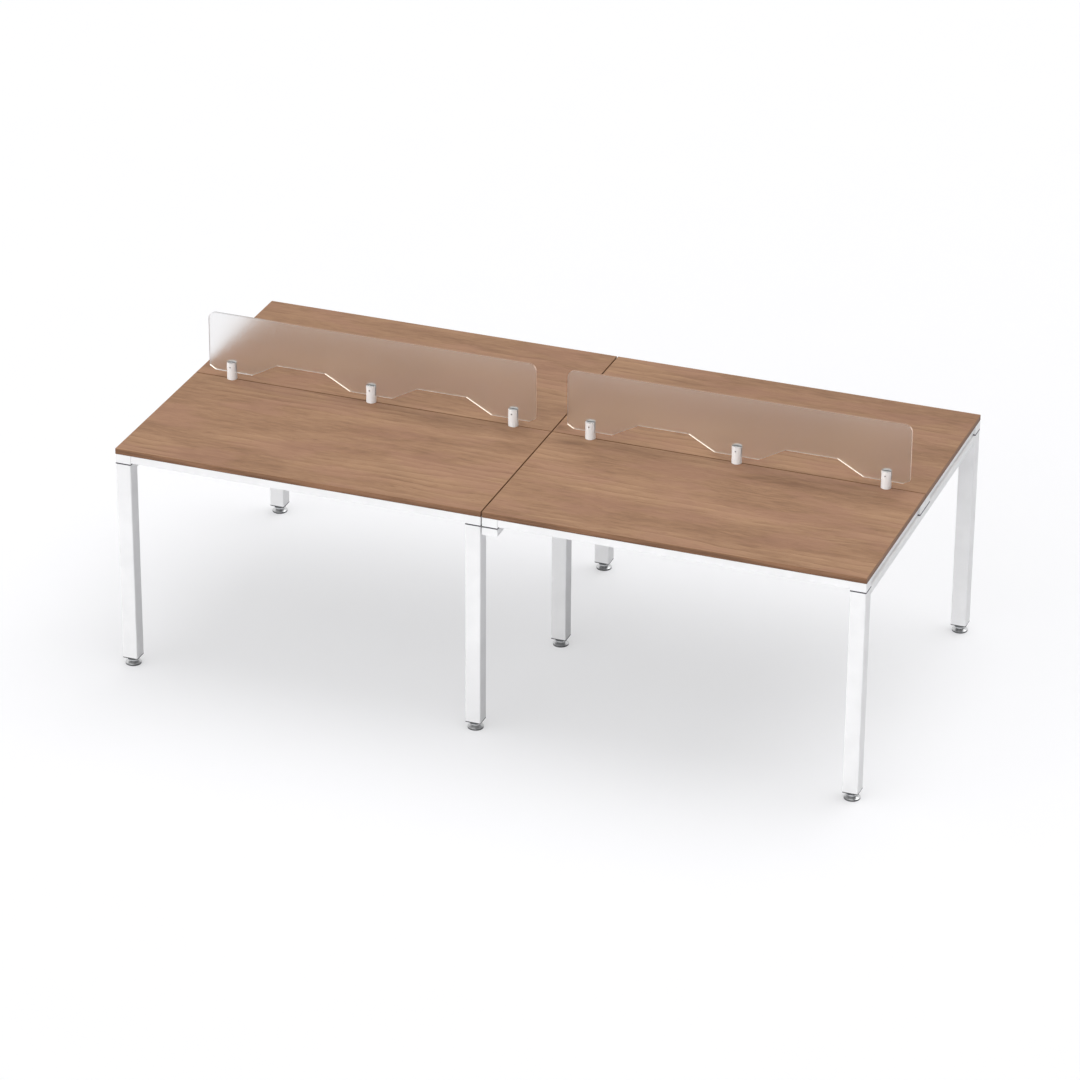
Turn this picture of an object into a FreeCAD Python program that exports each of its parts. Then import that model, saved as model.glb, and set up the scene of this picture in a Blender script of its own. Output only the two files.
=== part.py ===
import FreeCAD, Part
import Sketcher
import math
import os
import re

# Four-seat bench desk: four tops on ring frames, cross beams and seven legs, with two screens on the seam.
# The origin is on the floor under the middle of the bench. X runs along the bench, Y from front to back.

# Driving sizes in millimetres
SIZES = {
    # desktops
    "top_length": 1200,
    "top_depth": 600,
    "top_thick": 18,
    "desk_height": 750,
    "seam_x": 4,
    "seam_y": 3,
    "band_thick": 2,
    # ring frame under each desktop
    "frame_side": 50,
    "block_high": 29,
    "rail_wide": 40,
    "rail_high": 25,
    "rail_wall": 2,
    "rail_inset": 1,
    "seam_inset": 8,
    "side_inset": 8,
    "side_gap": 1,
    "pad_thick": 4,
    # cross beams and legs
    "beam_high": 25,
    "beam_wall": 2,
    "beam_cap": 3,
    "tube_round": 4,
    "leg_wall": 2,
    "leg_plate": 8,
    "plug_flange": 3,
    "plug_deep": 25,
    "plug_fit": 0.1,
    # levelling feet
    "foot_radius": 25,
    "foot_rim": 5,
    "foot_cone": 7,
    "foot_hub": 6,
    "hub_radius": 14,
    "spigot_radius": 4.5,
    "spigot_long": 11,
    "spigot_end": 0.5,
    "collar_flats": 36,
    "collar_high": 8,
    "stud_radius": 5,
    "stud_reach": 44,
    "running_gap": 0.05,
    # bolts, nuts and screws of the frame
    "bolt_radius": 4,
    "bolt_gap": 0.5,
    "bolt_head_radius": 6.5,
    "bolt_head_high": 8,
    "bolt_sink": 9,
    "sink_gap": 0.7,
    "socket_flats": 6,
    "socket_deep": 4,
    "bolt_end": 3,
    "nut_flats": 13,
    "nut_high": 8,
    "nut_flange_radius": 9,
    "nut_flange_high": 1.5,
    "link_pitch": 600,
    "link_head_flats": 13,
    "link_head_high": 5.5,
    "spacer_radius": 10,
    "screw_radius": 2.5,
    "screw_head_radius": 5,
    "screw_head_high": 3,
    "screw_bite": 12,
    "screw_end": 0.5,
    "screw_near": 130,
    "screw_inset": 170,
    # screens and their clamps
    "screen_margin": 50,
    "screen_high": 197,
    "screen_thick": 8,
    "screen_lift": 23,
    "screen_round": 25,
    "corner_cut_wide": 21,
    "corner_cut_high": 12.5,
    "notch_foot": 332,
    "notch_head": 164,
    "notch_high": 46.5,
    "clamp_inset": 75,
    "clamp_radius": 16,
    "clamp_high": 57,
    "clamp_bite": 14,
    "clamp_bore_end": 1,
    "liner_thick": 1,
    "liner_long": 28,
    "liner_drop": 1,
    "set_radius": 2.5,
    "set_long": 10,
    "set_drop": 14,
    "set_socket_flats": 2.5,
    "set_socket_deep": 3,
    "clamp_bolt_radius": 2.5,
    "clamp_bolt_gap": 0.3,
    "clamp_bolt_flats": 8,
    "clamp_bolt_head": 3.5,
    "clamp_plate_side": 60,
    "clamp_plate_thick": 4,
}

doc = FreeCAD.newDocument("bench_desk")
sheet = doc.addObject("Spreadsheet::Sheet", "dim")
for row, (alias, value) in enumerate(SIZES.items(), start=1):
    sheet.set("A%d" % row, alias)
    sheet.set("B%d" % row, str(value))
    sheet.setAlias("B%d" % row, alias)
doc.recompute()

# Levels above the floor
BOARD_UNDER = "(desk_height - top_thick)"
BLOCK_UNDER = f"({BOARD_UNDER} - block_high)"
RAIL_UNDER = f"({BOARD_UNDER} - rail_high)"
BEAM_TOP = f"({BLOCK_UNDER} - pad_thick)"
BEAM_UNDER = f"({BEAM_TOP} - beam_high)"
SIDE_UNDER = f"({BEAM_TOP} + side_gap)"
PLATE_UNDER = f"({RAIL_UNDER} - clamp_plate_thick)"
FOOT_TOP = "(foot_rim + foot_cone + foot_hub)"
COLLAR_TOP = f"({FOOT_TOP} + collar_high)"
LEG_UNDER = f"({COLLAR_TOP} + plug_flange)"
SLOT_UNDER = "(desk_height + screen_lift - liner_thick)"

# Height of the side rails, which reach down to the cross beams
SIDE_HIGH = "(block_high + pad_thick - side_gap)"

# Lengths along the bench
RAIL_LONG = "(top_length - 2 * frame_side)"
SCREEN_LONG = "(top_length - 2 * screen_margin)"
CLAMP_STEP = f"({SCREEN_LONG} / 2 - clamp_inset)"
SCREW_STEP = f"({RAIL_LONG} / 2 - screw_inset)"

# Low corner of each desktop in plan, and the middle of each half of the bench
LOW_X = {"left": "(-seam_x / 2 - top_length)", "right": "(seam_x / 2)"}
LOW_Y = {"front": "(-seam_y / 2 - top_depth)", "back": "(seam_y / 2)"}
MID_X = {side: f"({low} + top_length / 2)" for side, low in LOW_X.items()}
DESKS = [(row, side) for row in LOW_Y for side in LOW_X]

# Turns that lay a piece drawn along Z onto another axis
TURN = {
    "x": FreeCAD.Rotation(FreeCAD.Vector(0, 1, 0), 90),
    "y": FreeCAD.Rotation(FreeCAD.Vector(1, 0, 0), -90),
    "z": FreeCAD.Rotation(),
}
ROOT_THREE = math.sqrt(3)
nodes = []


def rule(text):
    """Write the size names in a rule as cells of the sheet."""
    return re.sub(r"[a-z_]+", lambda word: "dim." + word.group(0), text)


def bind(piece, **rules):
    """Tie properties of a piece to the sheet."""
    for prop, text in rules.items():
        piece.setExpression(prop, rule(text))


def place(piece, corner, axis="z"):
    """Turn a piece onto an axis and tie its position to the sheet."""
    piece.Placement = FreeCAD.Placement(FreeCAD.Vector(), TURN[axis])
    for letter, text in zip("xyz", corner):
        piece.setExpression(".Placement.Base." + letter, rule(text))
    return piece


def box(size, corner):
    """Block from its three lengths and its low corner."""
    piece = doc.addObject("Part::Box", "block")
    bind(piece, Length=size[0], Width=size[1], Height=size[2])
    return place(piece, corner)


def rod(radius, length, foot, axis="z"):
    """Round bar from the centre of its foot along an axis."""
    piece = doc.addObject("Part::Cylinder", "rod")
    bind(piece, Radius=radius, Height=length)
    return place(piece, foot, axis)


def hexagon(flats, length, foot, axis="z"):
    """Six-sided bar from the centre of its foot along an axis."""
    piece = doc.addObject("Part::Prism", "hexagon")
    piece.Polygon = 6
    bind(piece, Circumradius=f"({flats}) / {ROOT_THREE:.9f}", Height=length)
    return place(piece, foot, axis)


def group(pieces, name="group"):
    """Several separate solids as one object."""
    piece = doc.addObject("Part::Compound", name)
    piece.Links = pieces
    return piece


def fuse(pieces, name="fuse"):
    """Several touching solids as one solid."""
    piece = doc.addObject("Part::MultiFuse", name)
    piece.Shapes = pieces
    return piece


def cut(base, tools, name="cut"):
    """A solid with holes or hollows taken out of it."""
    piece = doc.addObject("Part::Cut", name)
    piece.Base = base
    piece.Tool = tools[0] if len(tools) == 1 else group(tools, "tools")
    return piece


def rounded_bar(size, low, axis):
    """Block from its three lengths and its low corner, with rounded edges along an axis."""
    run = "xyz".index(axis)
    first, second = (index for index in range(3) if index != run)
    pieces = []
    for thin in (first, second):
        slim_size, slim_low = list(size), list(low)
        slim_size[thin] = f"{size[thin]} - 2 * tube_round"
        slim_low[thin] = f"{low[thin]} + tube_round"
        pieces.append(box(slim_size, slim_low))
    for far_first, far_second in ((False, False), (False, True), (True, False), (True, True)):
        foot = list(low)
        for index, far in ((first, far_first), (second, far_second)):
            foot[index] += f" + {size[index]} - tube_round" if far else " + tube_round"
        pieces.append(rod("tube_round", size[run], foot, axis))
    piece = fuse(pieces)
    piece.Refine = True
    return piece


def keep(piece, name):
    """Name a finished sub-part."""
    piece.Label = name
    nodes.append(piece)


def outline(body, plane, points):
    """Closed sketch of straight lines whose corners are tied to the sheet."""
    sketch = body.newObject("Sketcher::SketchObject", "outline")
    face = next(part for part in body.Origin.OriginFeatures if part.Role == plane)
    sketch.AttachmentSupport = [(face, "")]
    sketch.MapMode = "FlatFace"
    count = len(points)
    turns = [2 * math.pi * index / count for index in range(count)]
    starts = [FreeCAD.Vector(150 - 100 * math.cos(turn), 150 - 100 * math.sin(turn), 0) for turn in turns]
    for index, start in enumerate(starts):
        sketch.addGeometry(Part.LineSegment(start, starts[(index + 1) % count]), False)
    for index in range(count):
        sketch.addConstraint(Sketcher.Constraint("Coincident", index, 2, (index + 1) % count, 1))
    for index, point in enumerate(points):
        pairs = zip(("DistanceX", "DistanceY"), (-2, -1), point, (starts[index].x, starts[index].y))
        for kind, axis_line, text, start in pairs:
            if text == "0":
                sketch.addConstraint(Sketcher.Constraint("PointOnObject", index, 1, axis_line))
            else:
                number = sketch.addConstraint(Sketcher.Constraint(kind, -1, 1, index, 1, start))
                sketch.setExpression("Constraints[%d]" % number, rule(text))
    return sketch


def corner(row, side, end_y, end_x):
    """Low corner in plan of the block at one corner of a desktop."""
    x = LOW_X[side] if end_x == "left" else f"({LOW_X[side]} + top_length - frame_side)"
    y = LOW_Y[row] if end_y == "front" else f"({LOW_Y[row]} + top_depth - frame_side)"
    return x, y


def middle(place_xy):
    """Centre in plan of a square of the frame's width."""
    return tuple(f"({text} + frame_side / 2)" for text in place_xy)


CORNERS = [(row, side, end_y, end_x) for row, side in DESKS for end_y in LOW_Y for end_x in LOW_X]
LEGS = {
    "front_left": ("front", "left", "front", "left"),
    "front_middle": ("front", "left", "front", "right"),
    "front_right": ("front", "right", "front", "right"),
    "back_left": ("back", "left", "back", "left"),
    "back_middle": ("back", "left", "back", "right"),
    "back_right": ("back", "right", "back", "right"),
    "centre": ("back", "right", "front", "left"),
}
CLAMP_STEPS = (f"- {CLAMP_STEP}", "", f"+ {CLAMP_STEP}")
CLAMPS = [(side, f"({MID_X[side]} {step})") for side in LOW_X for step in CLAMP_STEPS]
SCREW_STEPS = (f"- {SCREW_STEP}", "- screw_near", "+ screw_near", f"+ {SCREW_STEP}")


def rail_rows(row):
    """Low Y of the outer rail and of the seam rail of a desktop."""
    near = LOW_Y[row]
    far = f"({LOW_Y[row]} + top_depth - rail_wide)"
    if row == "front":
        return {"outer": f"({near} + rail_inset)", "seam": f"({far} - seam_inset)"}
    return {"outer": f"({far} - rail_inset)", "seam": f"({near} + seam_inset)"}


# Desktops: a board inside a thin band, with blind screw holes and a notch at the seam for each clamp bolt
for row, side in DESKS:
    seam_bolts = [
        rod("clamp_bolt_radius + clamp_bolt_gap", "top_thick", (x, "0 * top_depth", BOARD_UNDER))
        for half, x in CLAMPS
        if half == side
    ]
    screw_holes = [
        rod(
            "screw_radius + running_gap",
            "screw_bite + screw_end",
            (f"{MID_X[side]} {step}", f"{low} + rail_wide / 2", BOARD_UNDER),
        )
        for low in rail_rows(row).values()
        for step in SCREW_STEPS
    ]
    whole = box(("top_length", "top_depth", "top_thick"), (LOW_X[side], LOW_Y[row], BOARD_UNDER))
    core_size = ("top_length - 2 * band_thick", "top_depth - 2 * band_thick", "top_thick")
    core_low = (f"{LOW_X[side]} + band_thick", f"{LOW_Y[row]} + band_thick", BOARD_UNDER)
    keep(cut(box(core_size, core_low), seam_bolts + screw_holes), f"desktop_{row}_{side}")
    keep(cut(whole, [box(core_size, core_low)] + seam_bolts), f"edge_band_{row}_{side}")

# Ring frames: tubes that butt between the corner blocks
for row, side in DESKS:
    for kind, low in rail_rows(row).items():
        start = f"{LOW_X[side]} + frame_side"
        tube = box((RAIL_LONG, "rail_wide", "rail_high"), (start, low, RAIL_UNDER))
        hollow = box(
            (RAIL_LONG, "rail_wide - 2 * rail_wall", "rail_high - 2 * rail_wall"),
            (start, f"{low} + rail_wall", f"{RAIL_UNDER} + rail_wall"),
        )
        holes = [
            rod(
                "screw_radius + running_gap",
                "rail_high",
                (f"{MID_X[side]} {step}", f"{low} + rail_wide / 2", RAIL_UNDER),
            )
            for step in SCREW_STEPS
        ]
        keep(cut(tube, [hollow] + holes), f"{kind}_rail_{row}_{side}")
    short_size = "top_depth - 2 * frame_side"
    start = f"{LOW_Y[row]} + frame_side"
    ends = (f"{LOW_X[side]} + side_inset", f"{LOW_X[side]} + top_length - side_inset - rail_wide")
    pair = []
    for low in ends:
        tube = box(("rail_wide", short_size, SIDE_HIGH), (low, start, SIDE_UNDER))
        hollow = box(
            ("rail_wide - 2 * rail_wall", short_size, f"{SIDE_HIGH} - 2 * rail_wall"),
            (f"{low} + rail_wall", start, f"{SIDE_UNDER} + rail_wall"),
        )
        pair.append(cut(tube, [hollow]))
    keep(group(pair), f"side_rails_{row}_{side}")

# Corner blocks with a sunk bolt hole, and the pads under them
blocks = []
pads = []
for spot in CORNERS:
    x, y = corner(*spot)
    mid_x, mid_y = middle((x, y))
    block = box(("frame_side", "frame_side", "block_high"), (x, y, BLOCK_UNDER))
    through = rod("bolt_radius + bolt_gap", "block_high", (mid_x, mid_y, BLOCK_UNDER))
    sink = rod("bolt_head_radius + sink_gap", "bolt_sink", (mid_x, mid_y, f"{BOARD_UNDER} - bolt_sink"))
    blocks.append(cut(block, [through, sink]))
    pad = box(("frame_side", "frame_side", "pad_thick"), (x, y, BEAM_TOP))
    pads.append(cut(pad, [rod("bolt_radius + bolt_gap", "pad_thick", (mid_x, mid_y, BEAM_TOP))]))
keep(group(blocks), "corner_blocks")
keep(group(pads), "frame_pads")

# Cross beams: three butt between two legs, the right middle one runs the full depth with closed ends
FULL_DEPTH = "(2 * top_depth + seam_y)"
LINK_Z = f"({BEAM_UNDER} + beam_high / 2)"
LINKS = ("-link_pitch / 2", "link_pitch / 2")
for name, side, end_x in (
    ("left", "left", "left"),
    ("middle_left", "left", "right"),
    ("middle_right", "right", "left"),
    ("right", "right", "right"),
):
    x, front = corner("front", side, "front", end_x)
    full = name == "middle_right"
    start = front if full else f"({front} + frame_side)"
    length = FULL_DEPTH if full else f"({FULL_DEPTH} - 2 * frame_side)"
    tube = rounded_bar(("frame_side", length, "beam_high"), (x, start, BEAM_UNDER), "y")
    hollow = box(
        (
            "frame_side - 2 * beam_wall",
            f"{length} - 2 * beam_cap" if full else length,
            "beam_high - 2 * beam_wall",
        ),
        (f"{x} + beam_wall", f"{start} + beam_cap" if full else start, f"{BEAM_UNDER} + beam_wall"),
    )
    spots = [
        middle(corner(row, side, end_y, end_x))
        for row in LOW_Y
        for end_y in LOW_Y
        if full or end_y != row
    ]
    holes = [rod("bolt_radius + bolt_gap", "beam_high", spot + (BEAM_UNDER,)) for spot in spots]
    if name.startswith("middle"):
        holes += [rod("bolt_radius + bolt_gap", "frame_side", (x, y, LINK_Z), "x") for y in LINKS]
    keep(cut(tube, [hollow] + holes), f"cross_beam_{name}")

# Legs: square tubes closed by a tapped top plate, each with an end plug and a levelling foot
plugs = []
for name, spot in LEGS.items():
    x, y = corner(*spot)
    mid_x, mid_y = middle((x, y))
    top = BEAM_UNDER if name == "centre" else BEAM_TOP
    length = f"({top} - {LEG_UNDER})"
    post = rounded_bar(("frame_side", "frame_side", length), (x, y, LEG_UNDER), "z")
    inside = "frame_side - 2 * leg_wall"
    hollow = box((inside, inside, f"{length} - leg_plate"), (f"{x} + leg_wall", f"{y} + leg_wall", LEG_UNDER))
    tapped = rod("bolt_radius + running_gap", "leg_plate", (mid_x, mid_y, f"{top} - leg_plate"))
    keep(cut(post, [hollow, tapped]), f"leg_{name}")

    flange = rounded_bar(("frame_side", "frame_side", "plug_flange"), (x, y, COLLAR_TOP), "z")
    snug = f"{inside} - 2 * plug_fit"
    insert_low = (f"{x} + leg_wall + plug_fit", f"{y} + leg_wall + plug_fit", LEG_UNDER)
    plug = fuse([flange, box((snug, snug, "plug_deep"), insert_low)])
    bore = rod("stud_radius + running_gap", "plug_flange + plug_deep", (mid_x, mid_y, COLLAR_TOP))
    plugs.append(cut(plug, [bore]))

    spigot = rod("spigot_radius", "spigot_long", (mid_x, mid_y, f"{FOOT_TOP} - spigot_long"))
    collar = hexagon("collar_flats", "collar_high", (mid_x, mid_y, FOOT_TOP))
    thread = rod("stud_radius", "stud_reach", (mid_x, mid_y, COLLAR_TOP))
    keep(fuse([spigot, collar, thread]), f"foot_stud_{name}")

    foot = doc.addObject("PartDesign::Body", "foot")
    socket = ("spigot_radius + running_gap", f"{FOOT_TOP} - spigot_long - spigot_end")
    profile = outline(
        foot,
        "XZ_Plane",
        [
            ("0", "0"),
            ("foot_radius", "0"),
            ("foot_radius", "foot_rim"),
            ("hub_radius", "foot_rim + foot_cone"),
            ("hub_radius", FOOT_TOP),
            (socket[0], FOOT_TOP),
            socket,
            ("0", socket[1]),
        ],
    )
    turned = foot.newObject("PartDesign::Revolution", "turned")
    turned.Profile = profile
    turned.ReferenceAxis = (profile, ["V_Axis"])
    turned.Angle = 360
    place(foot, (mid_x, mid_y, "0 * foot_rim"))
    keep(foot, f"foot_pad_{name}")
keep(group(plugs), "leg_end_plugs")


def flange_nut(seat, axis, turned_down):
    """Hexagon nut whose flange sits at the given point; it hangs below it when turned down."""
    base = list(seat)
    rim = list(seat)
    if turned_down:
        base[2] = f"{seat[2]} - nut_high"
        rim[2] = f"{seat[2]} - nut_flange_high"
    body = hexagon("nut_flats", "nut_high", base, axis)
    flange = rod("nut_flange_radius", "nut_flange_high", rim, axis)
    return cut(fuse([body, flange]), [rod("bolt_radius + running_gap", "nut_high", base, axis)])


# Bolts that hold the ring frames on the beams and legs, and the nuts where no leg stands below
HEAD_SEAT = f"({BOARD_UNDER} - bolt_sink)"
BOLT_LONG = f"({HEAD_SEAT} - {BEAM_UNDER} + leg_plate + bolt_end)"
frame_bolts = []
nuts = []
for spot in CORNERS:
    mid_x, mid_y = middle(corner(*spot))
    head = rod("bolt_head_radius", "bolt_head_high", (mid_x, mid_y, HEAD_SEAT))
    shank = rod("bolt_radius", BOLT_LONG, (mid_x, mid_y, f"{HEAD_SEAT} - {BOLT_LONG}"))
    socket = hexagon("socket_flats", "socket_deep", (mid_x, mid_y, f"{HEAD_SEAT} + bolt_head_high - socket_deep"))
    frame_bolts.append(cut(fuse([head, shank]), [socket]))
    if spot not in LEGS.values():
        nuts.append(flange_nut((mid_x, mid_y, BEAM_UNDER), "z", True))
keep(group(frame_bolts), "frame_bolts")

# Link bolts across the two middle beams, with a spacer in the gap between the beams
link_bolts = []
spacers = []
LINK_START = "(-seam_x / 2 - frame_side)"
LINK_SEAT = "(seam_x / 2 + frame_side)"
for y in LINKS:
    head = hexagon("link_head_flats", "link_head_high", (f"{LINK_START} - link_head_high", y, LINK_Z), "x")
    shank = rod("bolt_radius", f"2 * {LINK_SEAT} + nut_high + bolt_end", (LINK_START, y, LINK_Z), "x")
    link_bolts.append(fuse([head, shank]))
    ring = rod("spacer_radius", "seam_x", ("-seam_x / 2", y, LINK_Z), "x")
    spacers.append(cut(ring, [rod("bolt_radius + bolt_gap", "seam_x", ("-seam_x / 2", y, LINK_Z), "x")]))
    nuts.append(flange_nut((LINK_SEAT, y, LINK_Z), "x", False))
keep(group(link_bolts), "link_bolts")
keep(group(spacers), "link_spacers")
keep(group(nuts), "flange_nuts")

# Screws from below through the rails into the desktops
screws = []
for row, side in DESKS:
    for low in rail_rows(row).values():
        for step in SCREW_STEPS:
            x = f"{MID_X[side]} {step}"
            y = f"{low} + rail_wide / 2"
            head = rod("screw_head_radius", "screw_head_high", (x, y, f"{RAIL_UNDER} - screw_head_high"))
            shank = rod("screw_radius", "rail_high + screw_bite", (x, y, RAIL_UNDER))
            screws.append(fuse([head, shank]))
keep(group(screws), "top_screws")

# Screens: plates with cut lower corners, rounded upper corners and two notches along the lower edge
for side in LOW_X:
    screen = doc.addObject("PartDesign::Body", "screen")
    corners = [("0", "corner_cut_high"), ("corner_cut_wide", "0")]
    for sign in "-+":
        centre = f"{SCREEN_LONG} / 2 {sign} {CLAMP_STEP} / 2"
        corners += [
            (f"{centre} - notch_foot / 2", "0"),
            (f"{centre} - notch_head / 2", "notch_high"),
            (f"{centre} + notch_head / 2", "notch_high"),
            (f"{centre} + notch_foot / 2", "0"),
        ]
    corners += [
        (f"{SCREEN_LONG} - corner_cut_wide", "0"),
        (SCREEN_LONG, "corner_cut_high"),
        (SCREEN_LONG, "screen_high"),
        ("0", "screen_high"),
    ]
    plate = screen.newObject("PartDesign::Pad", "plate")
    plate.Profile = outline(screen, "XZ_Plane", corners)
    bind(plate, Length="screen_thick")
    doc.recompute()
    top = plate.Shape.BoundBox.ZMax
    upright = [
        "Edge%d" % number
        for number, edge in enumerate(plate.Shape.Edges, start=1)
        if all(abs(vertex.Z - top) < 0.001 for vertex in edge.Vertexes)
        and abs(edge.Vertexes[0].X - edge.Vertexes[-1].X) < 0.001
    ]
    rounding = screen.newObject("PartDesign::Fillet", "rounding")
    rounding.Base = (plate, upright)
    bind(rounding, Radius="screen_round")
    place(screen, (f"{MID_X[side]} - {SCREEN_LONG} / 2", "screen_thick / 2", "desk_height + screen_lift"))
    keep(screen, f"screen_{side}")

# Clamps: slotted round posts on the seam, each with a liner, a set screw, a bolt from below and a plate
clamps = []
liners = []
set_screws = []
clamp_bolts = []
plates = []
SLOT_WIDE = "(screen_thick + 2 * liner_thick)"
CLAMP_TOP = "(desk_height + clamp_high)"
SET_Z = f"({CLAMP_TOP} - set_drop)"
SEAM = "0 * seam_y"
for side, x in CLAMPS:
    post = rod("clamp_radius", "clamp_high", (x, SEAM, "desk_height"))
    slot = box(
        ("2 * clamp_radius", SLOT_WIDE, f"{CLAMP_TOP} - {SLOT_UNDER}"),
        (f"{x} - clamp_radius", f"-{SLOT_WIDE} / 2", SLOT_UNDER),
    )
    tapped = rod("clamp_bolt_radius + running_gap", "clamp_bite + clamp_bore_end", (x, SEAM, "desk_height"))
    set_hole = rod("set_radius + running_gap", "clamp_radius", (x, "-clamp_radius", SET_Z), "y")
    clamps.append(cut(post, [slot, tapped, set_hole]))

    sleeve = box(
        ("liner_long", SLOT_WIDE, f"{CLAMP_TOP} - {SLOT_UNDER} - liner_drop"),
        (f"{x} - liner_long / 2", f"-{SLOT_WIDE} / 2", SLOT_UNDER),
    )
    gap = box(
        ("liner_long", "screen_thick", f"{CLAMP_TOP} - {SLOT_UNDER}"),
        (f"{x} - liner_long / 2", "-screen_thick / 2", "desk_height + screen_lift"),
    )
    liners.append(cut(sleeve, [gap]))

    tip = f"(-{SLOT_WIDE} / 2 - set_long)"
    grub = rod("set_radius", "set_long", (x, tip, SET_Z), "y")
    set_screws.append(cut(grub, [hexagon("set_socket_flats", "set_socket_deep", (x, tip, SET_Z), "y")]))

    head = hexagon("clamp_bolt_flats", "clamp_bolt_head", (x, SEAM, f"{PLATE_UNDER} - clamp_bolt_head"))
    shank = rod("clamp_bolt_radius", f"desk_height + clamp_bite - {PLATE_UNDER}", (x, SEAM, PLATE_UNDER))
    clamp_bolts.append(fuse([head, shank]))

    plate = box(
        ("clamp_plate_side", "clamp_plate_side", "clamp_plate_thick"),
        (f"{x} - clamp_plate_side / 2", "-clamp_plate_side / 2", PLATE_UNDER),
    )
    hole = rod("clamp_bolt_radius + clamp_bolt_gap", "clamp_plate_thick", (x, SEAM, PLATE_UNDER))
    plates.append(cut(plate, [hole]))
keep(group(clamps), "clamp_bodies")
keep(group(liners), "clamp_liners")
keep(group(set_screws), "clamp_set_screws")
keep(group(clamp_bolts), "clamp_bolts")
keep(group(plates), "clamp_plates")

doc.recompute()
for item in doc.Objects:
    if "Invalid" in item.State or "Error" in item.State:
        raise RuntimeError("failed object: " + item.Label)
for node in nodes:
    if node.Shape.isNull() or not node.Shape.isValid():
        raise RuntimeError("bad shape: " + node.Label)

os.makedirs("parts", exist_ok=True)
for node in nodes:
    node.Shape.exportStep("parts/" + node.Label + ".step")
print("wrote", len(nodes), "sub-parts with", sum(len(node.Shape.Solids) for node in nodes), "solids")
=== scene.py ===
# %% [markdown]
# # A four-seat bench desk in Blender
# The bench is already built as solids: four tops, ring frames, beams, legs, screens, clamps and feet.
# This lesson dresses them. It loads the solids as a fixed frame, places the camera, writes the finishes as
# node materials, rounds the edges, replaces the plain foot studs by threaded ones, and lights the studio.

# %% Load the frame
import math

import bmesh
import bpy
from mathutils import Matrix, Vector


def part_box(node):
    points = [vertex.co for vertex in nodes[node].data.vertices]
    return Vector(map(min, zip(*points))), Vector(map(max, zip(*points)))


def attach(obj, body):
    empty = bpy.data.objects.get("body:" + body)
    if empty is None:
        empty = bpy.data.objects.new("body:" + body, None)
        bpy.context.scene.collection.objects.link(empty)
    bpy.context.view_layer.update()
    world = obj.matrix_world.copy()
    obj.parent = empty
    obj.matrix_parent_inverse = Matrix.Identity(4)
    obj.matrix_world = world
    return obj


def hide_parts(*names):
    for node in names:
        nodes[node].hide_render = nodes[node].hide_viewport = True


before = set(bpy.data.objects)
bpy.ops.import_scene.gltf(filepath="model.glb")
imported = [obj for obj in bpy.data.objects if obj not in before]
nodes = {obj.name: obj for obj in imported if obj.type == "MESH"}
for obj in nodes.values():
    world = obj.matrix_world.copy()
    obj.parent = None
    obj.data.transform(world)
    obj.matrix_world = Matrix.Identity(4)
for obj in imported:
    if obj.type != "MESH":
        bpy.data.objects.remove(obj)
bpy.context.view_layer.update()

# %% [markdown]
# ## The camera
# The view is a long lens from the right of the front, looking down. Its angles, distance and focal length
# were fitted to the straight edges of the bench, so every edge of the render falls on the edge it stands for.
# A camera in Blender looks along its own -Z, so the matrix columns are right, up and back.

# %% Place the camera
AZIMUTH = math.radians(20.418)
ELEVATION = math.radians(26.655)
ROLL = math.radians(0.418)
TARGET = Vector((-0.013948, -0.059135, 0.400))
DISTANCE = 14.87584
FOCAL_PIXELS = 4780.77
IMAGE_PIXELS = 1080
SENSOR_MM = 36.0
FARTHEST = 200.0

back = Vector((
    math.sin(AZIMUTH) * math.cos(ELEVATION),
    -math.cos(AZIMUTH) * math.cos(ELEVATION),
    math.sin(ELEVATION),
))
level_right = Vector((math.cos(AZIMUTH), math.sin(AZIMUTH), 0.0))
level_up = back.cross(level_right)
right = math.cos(ROLL) * level_right + math.sin(ROLL) * level_up
up = math.cos(ROLL) * level_up - math.sin(ROLL) * level_right

lens = bpy.data.cameras.new("view")
lens.sensor_fit = "HORIZONTAL"
lens.sensor_width = SENSOR_MM
lens.lens = FOCAL_PIXELS / IMAGE_PIXELS * SENSOR_MM
lens.clip_end = FARTHEST
camera = bpy.data.objects.new("view", lens)
bpy.context.scene.collection.objects.link(camera)
turn = Matrix((right, up, back)).transposed().to_4x4()
camera.matrix_world = Matrix.Translation(TARGET + DISTANCE * back) @ turn
bpy.context.scene.camera = camera
print("lens", round(lens.lens, 2), "mm at", tuple(round(v, 3) for v in camera.matrix_world.translation))

# %% [markdown]
# ## Writing finishes as sums
# A material is a small graph of nodes. Wiring each Math node by hand hides the idea, so one class wraps a
# socket: adding, subtracting and multiplying such sockets adds the Math nodes. Colours would turn grey in a
# Math node, so they go through Mix. Every other node comes from one method, settings first, then inputs.

# %% A socket with arithmetic
MIX_FIRST, MIX_SECOND, MIX_COLOUR = 6, 7, 2  # the colour sockets of a Mix node


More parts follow.
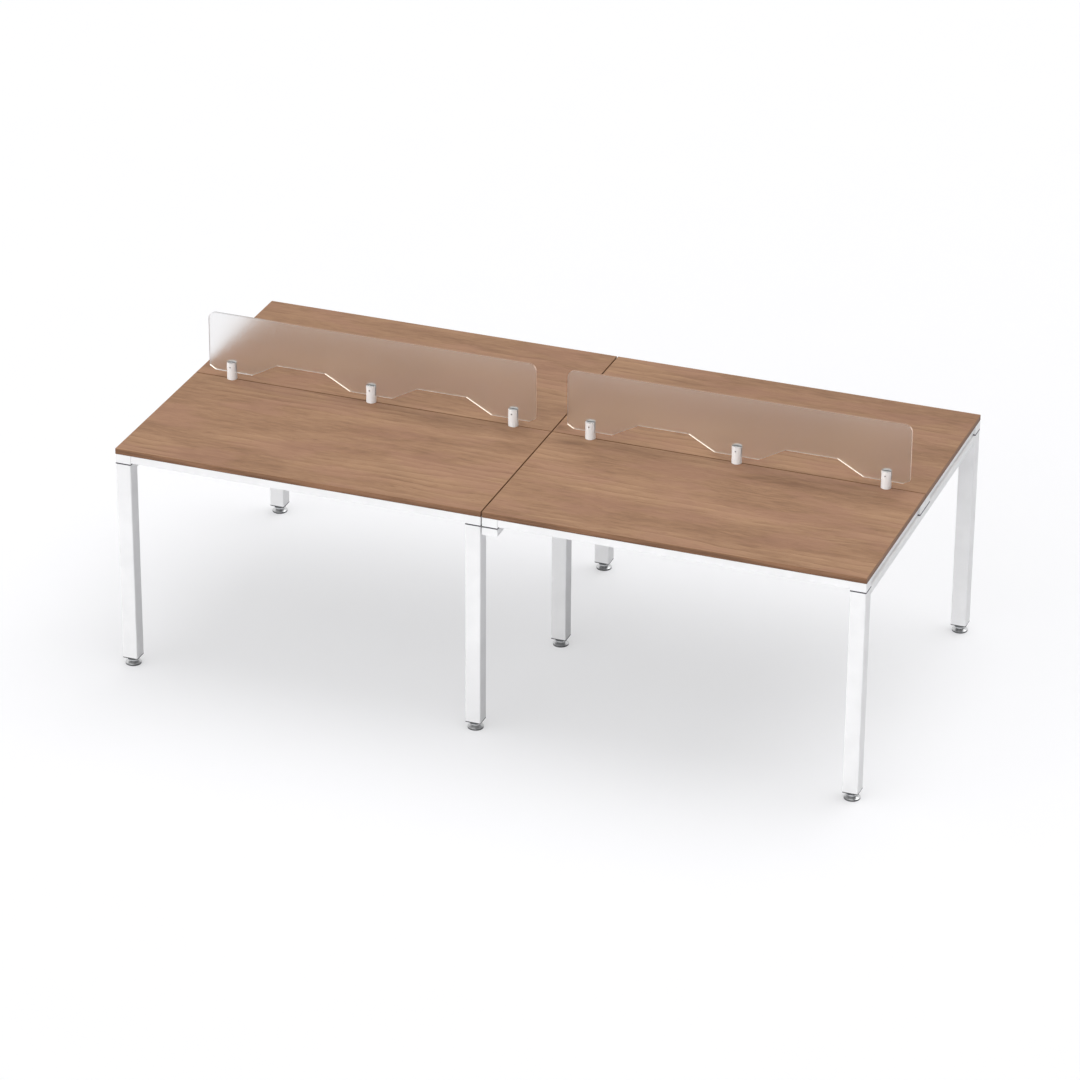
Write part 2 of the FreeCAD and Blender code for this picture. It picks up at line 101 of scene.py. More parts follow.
class Flow:
    """The output of a node, with arithmetic that adds Math nodes."""

    def __init__(self, tree, socket=None):
        self.tree = tree
        self.socket = socket

    def node(self, kind, settings=None, inputs=None, output=0):
        """Add a node: its type, its settings, then the values or links of its sockets."""
        made = self.tree.nodes.new(kind)
        for key, value in (settings or {}).items():
            if key == "stops":
                ramp = made.color_ramp
                while len(ramp.elements) < len(value):
                    ramp.elements.new(0.5)
                for stop, (place, colour) in zip(ramp.elements, value):
                    stop.position = place
                    stop.color = colour
            else:
                setattr(made, key, value)
        for key, value in (inputs or {}).items():
            if isinstance(value, Flow):
                self.tree.links.new(value.socket, made.inputs[key])
            else:
                made.inputs[key].default_value = value
        return Flow(self.tree, made.outputs[output] if made.outputs else None)

    def math(self, operation, first, second):
        return self.node("ShaderNodeMath", {"operation": operation}, {0: first, 1: second})

    def __add__(self, other):
        return self.math("ADD", self, other)

    def __radd__(self, other):
        return self.math("ADD", other, self)

    def __sub__(self, other):
        return self.math("SUBTRACT", self, other)

    def __rsub__(self, other):
        return self.math("SUBTRACT", other, self)

    def __mul__(self, other):
        return self.math("MULTIPLY", self, other)

    def __rmul__(self, other):
        return self.math("MULTIPLY", other, self)

    def between(self, low, high):
        """Stretch the range low to high onto 0 to 1, and clip what lies outside."""
        return self.node(
            "ShaderNodeMapRange",
            {"clamp": True, "interpolation_type": "SMOOTHSTEP"},
            {"Value": self, "From Min": low, "From Max": high},
        )

    def blend(self, first, second):
        """Mix two colours by this value."""
        inputs = {"Factor": self, MIX_FIRST: first, MIX_SECOND: second}
        return self.node("ShaderNodeMix", {"data_type": "RGBA"}, inputs, MIX_COLOUR)


print("socket arithmetic ready")

# %% [markdown]
# ## Shared steps
# Every finish starts from an empty material and ends at its output. In between it reads where a point lies and
# which way the surface looks, adds noise over stretched coordinates, and turns a relief into a slight bump.

# %% Steps that all finishes share
X, Y, Z = range(3)


def start_finish(name):
    """Empty material, ready for its nodes."""
    material = bpy.data.materials.new(name)
    material.use_nodes = True
    material.node_tree.nodes.clear()
    return material, Flow(material.node_tree)


def end_finish(flow, surface):
    """Join the last shader to the material's output."""
    flow.node("ShaderNodeOutputMaterial", None, {"Surface": surface})


def part(flow, vector, axis):
    """One of the three numbers of a vector."""
    return flow.node("ShaderNodeSeparateXYZ", None, {"Vector": vector}, axis)


def place_part(flow, axis):
    """Where a point lies along one axis of its piece, in metres."""
    return part(flow, flow.node("ShaderNodeTexCoord", output="Object"), axis)


def normal_part(flow, axis):
    """How far the surface looks along one axis, from -1 to 1."""
    return part(flow, flow.node("ShaderNodeNewGeometry", output="Normal"), axis)


def stretched(flow, scale=(1.0, 1.0, 1.0), offset=(0.0, 0.0, 0.0), aside=None):
    """The piece's own coordinates in metres, shifted aside if asked, then scaled per axis."""
    place = flow.node("ShaderNodeTexCoord", output="Object")
    if aside:
        place = flow.node("ShaderNodeVectorMath", {"operation": "ADD"}, {0: place, 1: aside})
    return flow.node("ShaderNodeMapping", None, {"Vector": place, "Scale": scale, "Location": offset})


def speckle(flow, place, scale, detail=3.0, roughness=0.5):
    """Soft random values around one half, over the given coordinates."""
    settings = {"noise_dimensions": "3D"}
    inputs = {"Vector": place, "Scale": scale, "Detail": detail, "Roughness": roughness}
    return flow.node("ShaderNodeTexNoise", settings, inputs)


def bumped(flow, relief, strength, depth):
    """Surface normals tilted by a relief, with its depth in metres."""
    return flow.node("ShaderNodeBump", None, {"Strength": strength, "Distance": depth, "Height": relief})


def principled(flow, inputs):
    """The shader behind every solid finish."""
    return flow.node("ShaderNodeBsdfPrincipled", None, inputs)


def linear(red, green, blue):
    """A screen colour of 0 to 255 as the light values that shaders use."""
    parts = []
    for level in (red, green, blue):
        share = level / 255.0
        parts.append(share / 12.92 if share <= 0.04045 else ((share + 0.055) / 1.055) ** 2.4)
    return (*parts, 1.0)


print("finish helpers ready")

# %% [markdown]
# ## The wood-look tops
# The tops are laminated board with a printed wood face: a warm brown with grain along the bench, soft
# streaks, a few arched growth figures and short dark pores. A photo texture would be quicker, but it isn't
# needed: noise that is stretched far along X gives streaks and fibres, and a wave bent by noise gives the
# growth figure. A slow sway pushes the lines aside, and scattered spots darken to small knots. Each top gets
# its own offset, so that no two tops show the same board. The underside has the plain grey backing sheet that
# keeps such a board flat.

# %% Choose the wood's colours and layers
WOOD_DARK = linear(126, 90, 64)
WOOD_MID = linear(157, 120, 90)
WOOD_PALE = linear(175, 137, 105)
WOOD_PINK = linear(160, 118, 96)
WOOD_STOPS = [(0.32, WOOD_DARK), (0.52, WOOD_MID), (0.72, WOOD_PALE)]
PORE_BROWN = linear(100, 68, 48)
BACKING = linear(158, 157, 156)
# each layer of noise: squeeze along X, Y and Z, then its scale, detail and roughness
GRAIN = {
    "sway": ((2.6, 7.0, 7.0), 1.4, 2.0, 0.5),
    "broad": ((1.6, 9.0, 9.0), 1.5, 4.0, 0.5),
    "streak": ((6.4, 64.0, 64.0), 1.3, 6.0, 0.62),
    "mottle": ((15.0, 56.0, 56.0), 1.0, 3.0, 0.6),
    "fibre": ((24.0, 420.0, 420.0), 1.0, 3.0, 0.5),
    "pore": ((34.0, 480.0, 480.0), 1.0, 2.0, 0.5),
    "hue": ((2.2, 6.0, 6.0), 1.9, 2.0, 0.5),
    "bend": ((1.0, 3.4, 3.4), 1.7, 2.0, 0.5),
}
SWAY_REACH = 0.05
BROAD_SHARE, STREAK_SHARE, MOTTLE_SHARE, FIBRE_SHARE = 0.34, 0.32, 0.24, 0.22
FIGURE_SQUEEZE = (0.32, 3.6, 3.6)
FIGURE_SHARE = 0.18
FIGURE_FACTOR = 1  # the Wave node's plain value, beside its colour
TONE_SHIFT = 0.10
KNOT_SQUEEZE = (2.1, 5.2, 5.2)
KNOT_SHARE = 0.30
PINK_SHARE = 0.40
PORE_SHARE = 0.45
print("wood layers:", ", ".join(GRAIN))


# %% Make the wood finish for one top
def grain_layer(flow, kind, offset, aside=None):
    """One layer of noise from the table."""
    squeeze, scale, detail, roughness = GRAIN[kind]
    return speckle(flow, stretched(flow, squeeze, offset, aside), scale, detail, roughness)


def growth_figure(flow, offset, aside):
    """Arched growth lines: a wave across the board, bent by noise."""
    return flow.node(
        "ShaderNodeTexWave",
        {"wave_type": "BANDS", "bands_direction": "Y", "wave_profile": "SAW"},
        {
            "Vector": stretched(flow, FIGURE_SQUEEZE, offset, aside),
            "Scale": 2.6,
            "Distortion": 7.5,
            "Detail": 2.5,
            "Detail Scale": 1.1,
            "Detail Roughness": 0.5,
        },
        FIGURE_FACTOR,
    )


def knot_spots(flow, offset, aside):
    """One at the centre of scattered knots, zero elsewhere."""
    away = flow.node(
        "ShaderNodeTexVoronoi",
        {"feature": "F1"},
        {"Vector": stretched(flow, KNOT_SQUEEZE, offset, aside), "Scale": 1.0, "Randomness": 1.0},
    )
    return 1.0 - away.between(0.03, 0.16)


def wood_finish(name, offset):
    """Brown laminate with grain along X."""
    material, flow = start_finish(name)
    sway = (grain_layer(flow, "sway", offset) - 0.5) * SWAY_REACH
    aside = flow.node("ShaderNodeCombineXYZ", None, {"Y": sway})
    broad = grain_layer(flow, "broad", offset, aside)
    streak = grain_layer(flow, "streak", offset, aside)
    mottle = grain_layer(flow, "mottle", offset, aside)
    fibre = grain_layer(flow, "fibre", offset, aside)
    pore = grain_layer(flow, "pore", offset, aside)
    hue = grain_layer(flow, "hue", offset)
    patch = grain_layer(flow, "bend", offset).between(0.44, 0.60)
    figure = growth_figure(flow, offset, aside) * patch
    tone = broad * BROAD_SHARE + streak * STREAK_SHARE + mottle * MOTTLE_SHARE
    tone = tone + figure * FIGURE_SHARE + fibre * FIBRE_SHARE - TONE_SHIFT
    base = flow.node("ShaderNodeValToRGB", {"stops": WOOD_STOPS}, {"Fac": tone})
    warm = (hue.between(0.46, 0.62) * PINK_SHARE).blend(base, WOOD_PINK)
    pores = pore.between(0.58, 0.70) * streak.between(0.40, 0.60) * PORE_SHARE
    knots = knot_spots(flow, offset, aside) * KNOT_SHARE
    face = (pores + knots * streak).blend(warm, PORE_BROWN)
    shader = principled(flow, {
        "Base Color": normal_part(flow, Z).between(-0.8, -0.5).blend(BACKING, face),
        "Roughness": 0.50 + streak * 0.12,
        "Specular IOR Level": 0.28,
        "Normal": bumped(flow, fibre * 0.5 - pores, 0.10, 0.0004),
    })
    end_finish(flow, shader)
    return material


TOPS = ("front_left", "front_right", "back_left", "back_right")
TOP_SHIFT = (3.7, 1.9, 0.6)
wood = {top: wood_finish(f"wood_{top}", [step * n for step in TOP_SHIFT]) for n, top in enumerate(TOPS)}
print("wood finishes:", ", ".join(sorted(wood)))

# %% [markdown]
# ## The edge bands
# A strip of plastic with a darker brown print is glued around each board. Its print has fine lines along the
# strip, so noise that is squeezed flat in Z serves all four sides. The strip is a little paler toward the top,
# and its narrow upper face is trimmed level with the board and takes the board's own tone.

# %% Make the edge band finish
BAND_DARK = linear(106, 78, 59)
BAND_MID = linear(142, 106, 81)
BAND_LOW, BAND_HIGH = 0.732, 0.750
LINE_SQUEEZE = (9.0, 9.0, 420.0)
CLOUD_SQUEEZE = (5.0, 5.0, 60.0)


def band_finish():
    """Dark brown plastic strip with fine printed lines."""
    material, flow = start_finish("edge_band")
    rise = (place_part(flow, Z) - BAND_LOW) * (1.0 / (BAND_HIGH - BAND_LOW))
    line = speckle(flow, stretched(flow, LINE_SQUEEZE), 1.0, 4.0, 0.6)
    cloud = speckle(flow, stretched(flow, CLOUD_SQUEEZE), 1.0, 3.0)
    tone = line * 0.45 + cloud * 0.45 + rise * 0.16 - 0.03
    side = tone.between(0.34, 0.66).blend(BAND_DARK, BAND_MID)
    shader = principled(flow, {
        "Base Color": normal_part(flow, Z).between(0.60, 0.85).blend(side, WOOD_MID),
        "Roughness": 0.46 + line * 0.10,
        "Specular IOR Level": 0.12,
        "Normal": bumped(flow, line, 0.08, 0.0003),
    })
    end_finish(flow, shader)
    return material


edge_band = band_finish()
print("edge band finish ready")

# %% [markdown]
# ## Painted steel
# Legs, beams, rails and corner blocks are powder-coated in white. Powder coat has a faint ripple like orange
# peel, a few millimetres wide, and its gloss wanders slightly. The ripple is a shallow bump; the colour stays
# nearly even, with the least trace of cloudiness.

# %% Make the white powder coat
COAT_WHITE = linear(236, 236, 236)
COAT_SHADE = linear(230, 230, 230)
PEEL_SCALE = 420.0
CLOUD_SCALE = 9.0


def powder_coat():
    """White paint with a faint orange-peel ripple."""
    material, flow = start_finish("white_powder_coat")
    peel = speckle(flow, stretched(flow), PEEL_SCALE, 2.0)
    cloud = speckle(flow, stretched(flow), CLOUD_SCALE, 3.0)
    shader = principled(flow, {
        "Base Color": cloud.between(0.30, 0.70).blend(COAT_SHADE, COAT_WHITE),
        "Roughness": 0.40 + cloud * 0.10,
        "Specular IOR Level": 0.35,
        "Normal": bumped(flow, peel, 0.05, 0.0003),
    })
    end_finish(flow, shader)
    return material


white_coat = powder_coat()
print("powder coat ready")

# %% [markdown]
# ## Rubber and plastic
# The pads over the legs, the leg plugs and the clamp liners are moulded. Moulded plastic shows a fine grain
# and a dull sheen, so one function makes them all from two close tones and a roughness.

# %% Make the moulded finishes
MOULD_SCALE = 900.0
MOULD_CLOUD_SCALE = 30.0


def moulded(name, dark, pale, roughness):
    """Dull moulded plastic or rubber with a fine grain."""
    material, flow = start_finish(name)
    fine = speckle(flow, stretched(flow), MOULD_SCALE, 3.0)
    cloud = speckle(flow, stretched(flow), MOULD_CLOUD_SCALE, 2.0)
    shader = principled(flow, {
        "Base Color": (fine * 0.5 + cloud * 0.5).between(0.35, 0.65).blend(dark, pale),
        "Roughness": roughness + fine * 0.10,
        "Specular IOR Level": 0.30,
        "Normal": bumped(flow, fine, 0.12, 0.0002),
    })
    end_finish(flow, shader)
    return material


pad_rubber = moulded("pad_rubber", linear(72, 70, 75), linear(86, 84, 89), 0.62)
plug_plastic = moulded("plug_plastic", linear(64, 65, 67), linear(78, 79, 81), 0.50)
liner_rubber = moulded("liner_rubber", linear(176, 176, 176), linear(190, 190, 190), 0.55)
print("moulded finishes ready")

# %% [markdown]
# ## Metals
# The fasteners are zinc plated, and the studs of the feet have a darker plating. Both are full metals with
# fine marks. The marks are noise. Coarser noise adds a haze to the colour and the roughness, as handling does.

# %% Make the metal finishes
MARK_SCALE = 260.0
HAZE_SCALE = 60.0


def worn_tone(mark, haze):
    """Marks and haze together, from 0 to 1."""
    return (mark * 0.6 + haze * 0.4).between(0.30, 0.70)


def metal(name, pale, dark, rough_low, rough_high):
    """Plated metal with fine marks."""
    material, flow = start_finish(name)
    mark = speckle(flow, stretched(flow), MARK_SCALE, 4.0, 0.6)
    haze = speckle(flow, stretched(flow), HAZE_SCALE, 2.0)
    shader = principled(flow, {
        "Base Color": worn_tone(mark, haze).blend(dark, pale),
        "Metallic": 1.0,
        "Roughness": rough_low + haze * (rough_high - rough_low),
        "Normal": bumped(flow, mark, 0.04, 0.0002),
    })
    end_finish(flow, shader)
    return material


zinc = metal("zinc_steel", linear(186, 187, 190), linear(164, 165, 168), 0.26, 0.42)
dark_zinc = metal("stud_zinc", linear(112, 114, 116), linear(96, 98, 100), 0.34, 0.48)
print("metals ready")

# %% [markdown]
# ## The feet
# A foot has a dark rubber rim on the floor and a plated cone above it. Both belong to one solid, so the height
# above the floor tells them apart. The cone is satin, not mirror bright, so its reflections are soft.

# %% Make the foot finish
RIM_HIGH = 0.0050
RIM_BLUR = 0.0003
RIM_DARK, RIM_PALE = linear(84, 85, 87), linear(98, 99, 101)
CONE_DARK, CONE_PALE = linear(206, 207, 208), linear(218, 219, 220)
FOOT_MARK_SCALE = 300.0


def foot_finish():
    """Dark rubber rim with a satin plated cone on it."""
    material, flow = start_finish("foot_plate")
    plated = place_part(flow, Z).between(RIM_HIGH - RIM_BLUR, RIM_HIGH + RIM_BLUR)
    mark = speckle(flow, stretched(flow), FOOT_MARK_SCALE, 4.0, 0.6)
    haze = speckle(flow, stretched(flow), HAZE_SCALE, 2.0)
    tone = worn_tone(mark, haze)
    shader = principled(flow, {
        "Base Color": plated.blend(tone.blend(RIM_DARK, RIM_PALE), tone.blend(CONE_DARK, CONE_PALE)),
        "Metallic": plated * 0.80,
        "Roughness": 0.30 + haze * 0.12,
        "Specular IOR Level": 0.30,
        "Normal": bumped(flow, mark, 0.03, 0.0002),
    })
    end_finish(flow, shader)
    return material


foot_plate = foot_finish()
print("foot finish ready")

# %% [markdown]
# ## Satin clamps
# The clamps are turned from aluminium, blasted and anodised, so their sides are nearly white and dull. Turning
# leaves rings around the axis, made here with noise that is squeezed along Z. The end faces are painted a
# darker grey than the sides, as painted shade; the upward part of the surface normal tells the ends from the
# sides.

# %% Make the clamp finish
CLAMP_DARK, CLAMP_PALE = linear(249, 250, 252), linear(253, 254, 255)
# painted shade: the darker grey of the end faces
CLAMP_END_PAINTED_SHADE = linear(190, 189, 187)
RING_SQUEEZE = (1.0, 1.0, 40.0)
RING_SCALE = 30.0


def satin_clamp():
    """Dull silver sides with turning rings, and end faces in painted shade."""
    material, flow = start_finish("satin_aluminium")
    upward = normal_part(flow, Z)
    end_face = (upward * upward).between(0.45, 0.85)
    rings = speckle(flow, stretched(flow, RING_SQUEEZE), RING_SCALE, 4.0, 0.6)
    sides = rings.between(0.30, 0.70).blend(CLAMP_DARK, CLAMP_PALE)
    shader = principled(flow, {
        # painted shade on the end faces
        "Base Color": end_face.blend(sides, CLAMP_END_PAINTED_SHADE),
        "Metallic": end_face * 0.25,
        "Roughness": 0.36 + rings * 0.10,
        "Specular IOR Level": 0.40,
        "Normal": bumped(flow, rings, 0.04, 0.0002),
    })
    end_finish(flow, shader)
    return material


satin = satin_clamp()
print("clamp finish ready")

# %% [markdown]
# ## Frosted screens
# The screens are acrylic plates with frosted faces. Light goes through, but what lies behind blurs with its
# distance: the wood right behind stays clear, the far edge of the table melts away. A rough transmission does
# this with the plate's true thickness, and a thin share of white scatter gives the milky veil. The cut edges
# are sawn and dull, so they get a plain matt finish; a mask on the normal tells edges from faces. Their tones
# are painted light and shade: edges that don't face up are painted paler than top edges, and edges that face
# right, into shade, paler still. Edges that look down to the left get a painted glow, an emission in place of
# gathered light. Seen from within the plate the normal is turned round, so the mask turns it back first. Level
# lower edges get a faint painted glow too. The outer end of the left screen has white behind it, so its edges
# are painted paler there.

# %% Choose the tones of the screens
FROST_DARK, FROST_PALE = linear(246, 246, 246), linear(253, 253, 253)
FROST_SCALE = 700.0
VEIL_SHARE = 0.03
# painted light and shade on the sawn edges: top edges darkest, edges that don't face up paler, edges that face
# right into shade palest
SAWN_TOP = linear(162, 131, 110)
SAWN_SIDE = linear(186, 160, 143)
SAWN_PAINTED_LIFT = linear(232, 203, 184)
# painted light: pale tones for the edges at the outer end of the left screen, where white lies behind, and the
# span along X where this painting fades out
PAINTED_PALE_TOP = linear(190, 190, 190)
PAINTED_PALE_SIDE = linear(224, 223, 222)
PAINTED_PALE_SPAN = (-1.10, -0.86)
# painted glow: the emission colour of edges that look down to the left, and its faint share on level lower
# edges
EDGE_PAINTED_GLOW = linear(255, 244, 228)
UNDER_PAINTED_GLOW = 0.15
BLACK = (0.0, 0.0, 0.0, 1.0)
print("pale edges end at x", PAINTED_PALE_SPAN[1])


# %% Make the frosted plate
def frosted_plate():
    """Frosted acrylic with cut edges in painted tones and a painted glow."""
    material, flow = start_finish("frosted_screen")
    inward = flow.node("ShaderNodeNewGeometry", output="Backfacing") * 2.0 - 1.0
    across = normal_part(flow, Y)
    face = (across * across).between(0.30, 0.70)
    leftward = normal_part(flow, X) * inward
    downward = normal_part(flow, Z) * inward
    # painted glow: edges that look down to the left get emission in place of gathered light
    painted_glow_edge = leftward.between(0.20, 0.40) * downward.between(0.20, 0.40)
    painted_glow_share = flow.math("MAXIMUM", painted_glow_edge, downward.between(0.90, 0.97) * UNDER_PAINTED_GLOW)
    # painted paleness at the outer end of the left screen, placed by position along X
    over_wood = place_part(flow, X).between(*PAINTED_PALE_SPAN)
    frost = speckle(flow, stretched(flow), FROST_SCALE, 2.0)
    bump = bumped(flow, frost, 0.04, 0.0002)
    plate = principled(flow, {
        "Base Color": frost.blend(FROST_DARK, FROST_PALE),
        "Roughness": 0.34 + frost * 0.08,
        "IOR": 1.30,
        "Transmission Weight": 1.0,
        "Specular IOR Level": 0.40,
        "Normal": bump,
    })
    veil = flow.node("ShaderNodeBsdfTranslucent", None, {"Color": FROST_DARK})
    milky = flow.node("ShaderNodeMixShader", None, {0: VEIL_SHARE, 1: plate, 2: veil})
    # painted light: edges that don't face up take the paler tone
    upright = downward.between(-0.9, -0.4) + frost * 0.2 - 0.1
    # painted lift: edges that face right, into shade, take the palest tone
    in_shade = 1.0 - leftward.between(-0.9, -0.5)
    over_table = in_shade.blend(upright.blend(SAWN_TOP, SAWN_SIDE), SAWN_PAINTED_LIFT)
    sawn = principled(flow, {
        # the outer end of the left screen takes the painted pale tones
        "Base Color": over_wood.blend(upright.blend(PAINTED_PALE_TOP, PAINTED_PALE_SIDE), over_table),
        "Roughness": 0.55 + frost * 0.10,
        # the emission is painted glow, because the edges are no lamp
        "Emission Color": painted_glow_share.blend(BLACK, EDGE_PAINTED_GLOW),
        "Emission Strength": 1.0,
        "Normal": bump,
    })
    shader = flow.node("ShaderNodeMixShader", None, {0: face, 1: sawn, 2: milky})
    end_finish(flow, shader)
    return material


frosted = frosted_plate()
print("frosted finish ready")

# %% [markdown]
# ## Dressing the solids
# Each solid keeps its shape and place. Three modifiers soften it: Weld joins the corners that the file format
# split, Bevel takes the sharpness off the edges that the solid leaves sharp, and Weighted Normal keeps the
# flat faces flat to the light. The finish goes into the object's own material slot.

# %% Choose a finish and an edge radius for every node
EDGE_RULES = (
    ("desktop_", None, 0.0),
    ("edge_band_", edge_band, 0.0006),
    ("leg_end_plugs", plug_plastic, 0.0006),
    ("leg_", white_coat, 0.0006),
    ("cross_beam_", white_coat, 0.0006),
    ("outer_rail_", white_coat, 0.0014),
    ("seam_rail_", white_coat, 0.0014),
    ("side_rails_", white_coat, 0.0014),
    ("corner_blocks", white_coat, 0.0012),
    ("frame_pads", pad_rubber, 0.0006),
    ("foot_pad_", foot_plate, 0.0008),
    ("screen_", frosted, 0.0006),
    ("clamp_bodies", satin, 0.0008),
    ("clamp_liners", liner_rubber, 0.0),
    ("", zinc, 0.0004),
)
WELD_REACH = 0.00002
BEVEL_STEPS = 3
BEVEL_ANGLE = math.radians(40)
FLAT_WEIGHT = 80


def soften(piece, radius):
    """Rounded edges on a solid, with its mesh left as it is."""
    weld = piece.modifiers.new("weld", "WELD")
    weld.merge_threshold = WELD_REACH
    if radius > 0.0:
        bevel = piece.modifiers.new("round", "BEVEL")
        bevel.width = radius
        bevel.segments = BEVEL_STEPS
        bevel.limit_method = "ANGLE"
        bevel.angle_limit = BEVEL_ANGLE
        bevel.use_clamp_overlap = True
        bevel.harden_normals = False
    normals = piece.modifiers.new("flat", "WEIGHTED_NORMAL")
    normals.keep_sharp = True
    normals.weight = FLAT_WEIGHT


def paint(piece, material):
    """Put a finish in each of the object's material slots."""
    for holder in piece.material_slots:
        holder.link = "OBJECT"
        holder.material = material


for name, piece in nodes.items():
    material, radius = next((m, r) for start, m, r in EDGE_RULES if name.startswith(start))
    if material is None:
        material = wood[name.replace("desktop_", "")]
    paint(piece, material)
    soften(piece, radius)
print("dressed", len(nodes), "nodes")

# %% [markdown]
# ## Threaded studs
# Each foot screws into its leg on a metric thread of 1.5 mm pitch. The solids have plain shanks; here the
# thread is cut for real: the radius follows a triangle wave of height plus angle, which is what a screw line
# is. The hexagon collar has chamfered corners, as a turned nut has. Each of the seven feet gets a copy.

# %% Describe the stud
STUD_RADIUS = 0.0050
STUD_CORE = 0.0043
PITCH = 0.0015
STUD_LOW, STUD_HIGH = 0.026, 0.070
STUD_RUN_OUT = 0.001
COLLAR_LOW, COLLAR_HIGH = 0.018, 0.026
COLLAR_FLATS = 0.036
COLLAR_CUT = 0.0014
COLLAR_CUT_HIGH = 0.0008
SPIGOT_RADIUS = 0.0044
SPIGOT_LOW = 0.0072
END_CHAMFER = 0.0006
CREST_GAIN, ROOT_CUT = 1.25, 0.1  # flatten the crest and the root of the triangle wave
TURN_STEPS = 36
ROWS_PER_PITCH = 6


def thread_radius(height, angle):
    """Radius of the thread: a flat-topped triangle wave along the screw line."""
    phase = (height / PITCH - angle / (2 * math.pi)) % 1.0
    ramp = abs(2.0 * phase - 1.0)
    return STUD_CORE + (STUD_RADIUS - STUD_CORE) * min(1.0, max(0.0, CREST_GAIN * ramp - ROOT_CUT))


def hexagon_radius(angle, chamfer):
    """Distance from the axis to a hexagon's side, cut by a chamfer circle."""
    nearest = (angle + math.pi / 6) % (math.pi / 3) - math.pi / 6
    return min(COLLAR_FLATS / 2 / math.cos(math.pi / 6 - abs(nearest)), chamfer)


print("thread of", round((STUD_HIGH - STUD_LOW) / PITCH, 1), "turns")


# %% Build the stud mesh
def ring(mesh, height, radius_at):
    """One ring of points around the axis."""
    points = []
    for step in range(TURN_STEPS):
        angle = 2 * math.pi * step / TURN_STEPS
        reach = radius_at(angle)
        points.append(mesh.verts.new((reach * math.cos(angle), reach * math.sin(angle), height)))
    return points


def skin(mesh, rings):
    """Close a stack of rings into one shell."""
    for low, high in zip(rings, rings[1:]):
        for step in range(TURN_STEPS):
            following = (step + 1) % TURN_STEPS
            mesh.faces.new((low[step], low[following], high[following], high[step]))
    mesh.faces.new(list(reversed(rings[0])))
    mesh.faces.new(rings[-1])


def build_stud():
    """Spigot, hexagon collar and thread as one turned piece."""
    mesh = bmesh.new()
    corner = COLLAR_FLATS / math.sqrt(3)
    rings = [ring(mesh, SPIGOT_LOW, lambda angle: SPIGOT_RADIUS - END_CHAMFER)]
    rings.append(ring(mesh, SPIGOT_LOW + END_CHAMFER, lambda angle: SPIGOT_RADIUS))
    rings.append(ring(mesh, COLLAR_LOW, lambda angle: SPIGOT_RADIUS))
    for height, chamfer in (
        (COLLAR_LOW, corner - COLLAR_CUT),
        (COLLAR_LOW + COLLAR_CUT_HIGH, corner),
        (COLLAR_HIGH - COLLAR_CUT_HIGH, corner),
        (COLLAR_HIGH, corner - COLLAR_CUT),
    ):
        rings.append(ring(mesh, height, lambda angle, limit=chamfer: hexagon_radius(angle, limit)))
    rings.append(ring(mesh, COLLAR_HIGH, lambda angle: STUD_CORE))
    rows = round((STUD_HIGH - STUD_RUN_OUT - STUD_LOW) / PITCH * ROWS_PER_PITCH)
    for row in range(1, rows + 1):
        height = STUD_LOW + row * PITCH / ROWS_PER_PITCH
        rings.append(ring(mesh, height, lambda angle, level=height: thread_radius(level, angle)))
    rings.append(ring(mesh, STUD_HIGH, lambda angle: STUD_CORE - END_CHAMFER))
    skin(mesh, rings)
    data = bpy.data.meshes.new("threaded_stud")
    mesh.to_mesh(data)
    mesh.free()
    return data


stud_mesh = build_stud()
stud_mesh.materials.append(dark_zinc)
print("stud faces:", len(stud_mesh.polygons))

# %% Put a stud into every foot
FEET = sorted(name[len("foot_pad_"):] for name in nodes if name.startswith("foot_pad_"))
for foot in FEET:
    low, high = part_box("foot_pad_" + foot)
    stud = bpy.data.objects.new("threaded_stud_" + foot, stud_mesh.copy())
    stud.location = ((low[0] + high[0]) / 2, (low[1] + high[1]) / 2, 0.0)
    bpy.context.scene.collection.objects.link(stud)
    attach(stud, "foot_stud_" + foot)
    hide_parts("foot_stud_" + foot)
print("studs:", ", ".join(FEET))

# %% [markdown]
# ## The studio
# The bench stands on a plain pale floor in even light. The light is a white dome that is brightest low in
# front on the left, less bright overhead and dim elsewhere, which leaves the right sides of the legs grey. One
# soft lamp, high up and a little behind on the right, lights the tops and drops the soft shadow. The floor is
# a white diffuse surface for the light, and for the camera it is mixed with plain white, which keeps the
# background pale while the soft shadow stays. The bench itself stays in place when its feet are screwed out,
# so the floor goes down with the front left foot.

# %% Build the floor
FLOOR_HALF = 40.0
FLOOR_DARK, FLOOR_PALE = linear(246, 246, 250), linear(248, 248, 251)
FLOOR_SCALE = 3.0
WHITE_SHARE = 0.485
WHITE = (1.0, 1.0, 1.0, 1.0)

floor_mesh = bpy.data.meshes.new("floor")
signs = ((-1, -1), (1, -1), (1, 1), (-1, 1))
floor_mesh.from_pydata([(x * FLOOR_HALF, y * FLOOR_HALF, 0.0) for x, y in signs], [], [(0, 1, 2, 3)])
floor = bpy.data.objects.new("floor", floor_mesh)
bpy.context.scene.collection.objects.link(floor)
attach(floor, "foot_pad_front_left")


def seen_directly(flow):
    """One where the camera looks straight, by mirror or through a plate; zero for light that bounces."""
    names = ("Is Camera Ray", "Is Glossy Ray", "Is Transmission Ray")
    paths = [flow.node("ShaderNodeLightPath", output=name) for name in names]
    return flow.math("MINIMUM", paths[0] + paths[1] + paths[2], 1.0)


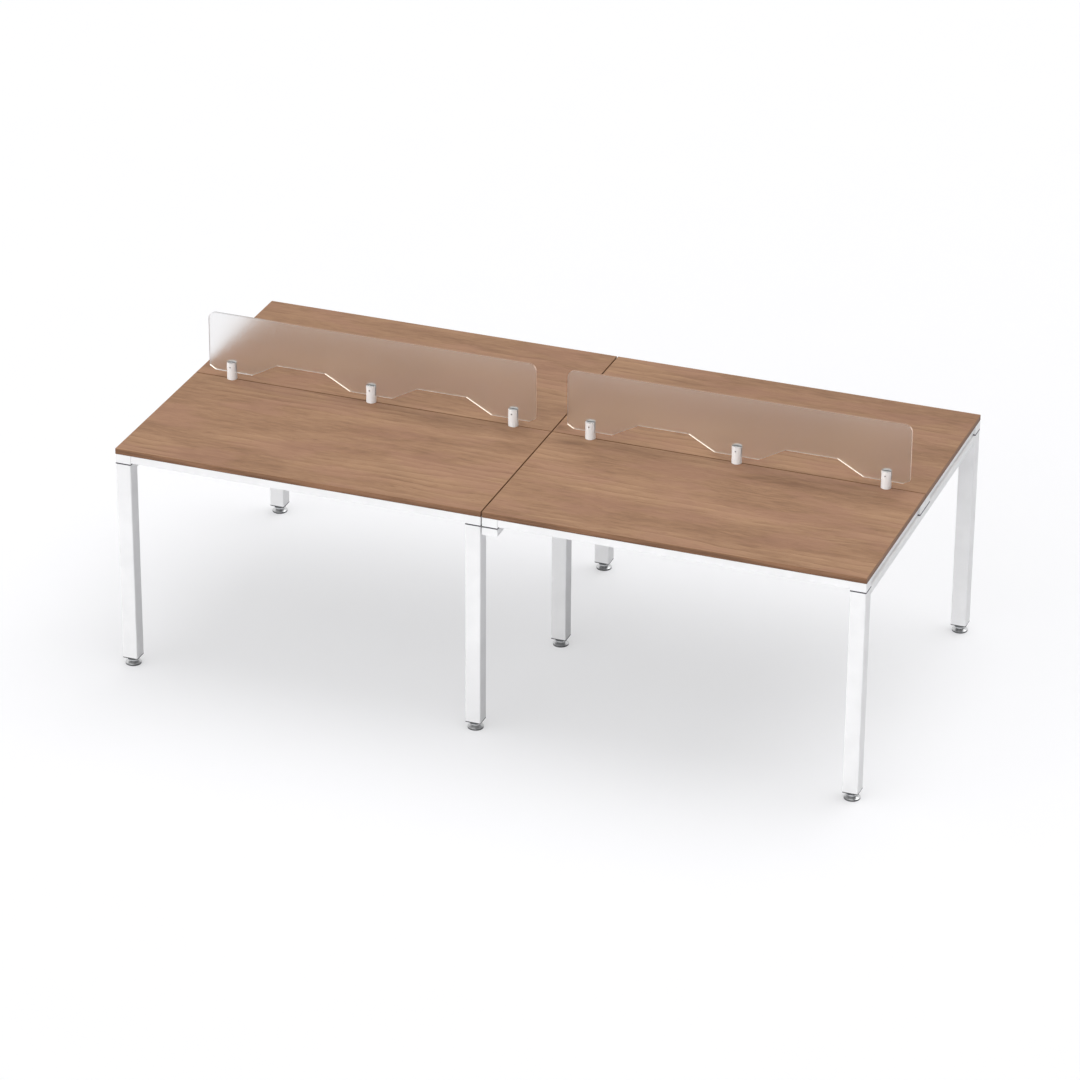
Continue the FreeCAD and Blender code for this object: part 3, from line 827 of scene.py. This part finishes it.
floor_paint, flow = start_finish("pale_floor")
clouds = speckle(flow, stretched(flow), FLOOR_SCALE, 2.0)
matt = flow.node("ShaderNodeBsdfDiffuse", None, {"Color": clouds.blend(FLOOR_DARK, FLOOR_PALE)})
glow = flow.node("ShaderNodeEmission", None, {"Color": WHITE, "Strength": 1.0})
mixed = flow.node("ShaderNodeMixShader", None, {0: seen_directly(flow) * WHITE_SHARE, 1: matt, 2: glow})
end_finish(flow, mixed)
floor_mesh.materials.append(floor_paint)
print("floor", 2 * FLOOR_HALF, "m wide")

# %% Set the sky light
SKY_BASE, SKY_FRONT, SKY_TOP = 0.075, 3.36, 0.78
TO_FRONT = (-0.46, -0.89, 0.0)

world = bpy.data.worlds.new("studio")
bpy.context.scene.world = world
world.use_nodes = True
world.node_tree.nodes.clear()
sky = Flow(world.node_tree)
outward = sky.node("ShaderNodeTexCoord", output="Generated")
toward_front = sky.node(
    "ShaderNodeVectorMath", {"operation": "DOT_PRODUCT"}, {0: outward, 1: TO_FRONT}, "Value"
)
height = part(sky, outward, Z)
ahead = sky.math("MAXIMUM", toward_front, 0.0)
low_front = ahead * ahead * (1.0 - height)
level = SKY_BASE + SKY_FRONT * low_front + SKY_TOP * (height * height)
tint = sky.node("ShaderNodeVectorMath", {"operation": "SCALE"}, {0: WHITE[:3], "Scale": level})
dim = sky.node("ShaderNodeBackground", None, {"Color": tint, "Strength": 1.0})
plain = sky.node("ShaderNodeBackground", None, {"Color": WHITE, "Strength": 1.0})
both = sky.node("ShaderNodeMixShader", None, {0: seen_directly(sky), 1: dim, 2: plain})
sky.node("ShaderNodeOutputWorld", None, {"Surface": both})
print("sky light", SKY_BASE, "to", SKY_BASE + SKY_FRONT, "and", SKY_TOP, "more at the top")

# %% Hang the soft lamp
TO_LAMP = Vector((0.21, 0.26, 0.93))
LAMP_POWER = 1.38
LAMP_SPREAD = math.radians(55)

glow_lamp = bpy.data.lights.new("soft_lamp", "SUN")
glow_lamp.energy = LAMP_POWER
glow_lamp.angle = LAMP_SPREAD
lamp = bpy.data.objects.new("soft_lamp", glow_lamp)
lamp.rotation_euler = (-TO_LAMP).to_track_quat("-Z", "Y").to_euler()
bpy.context.scene.collection.objects.link(lamp)
bpy.context.scene.view_settings.view_transform = "Standard"
print("lamp from", tuple(round(v, 2) for v in TO_LAMP))
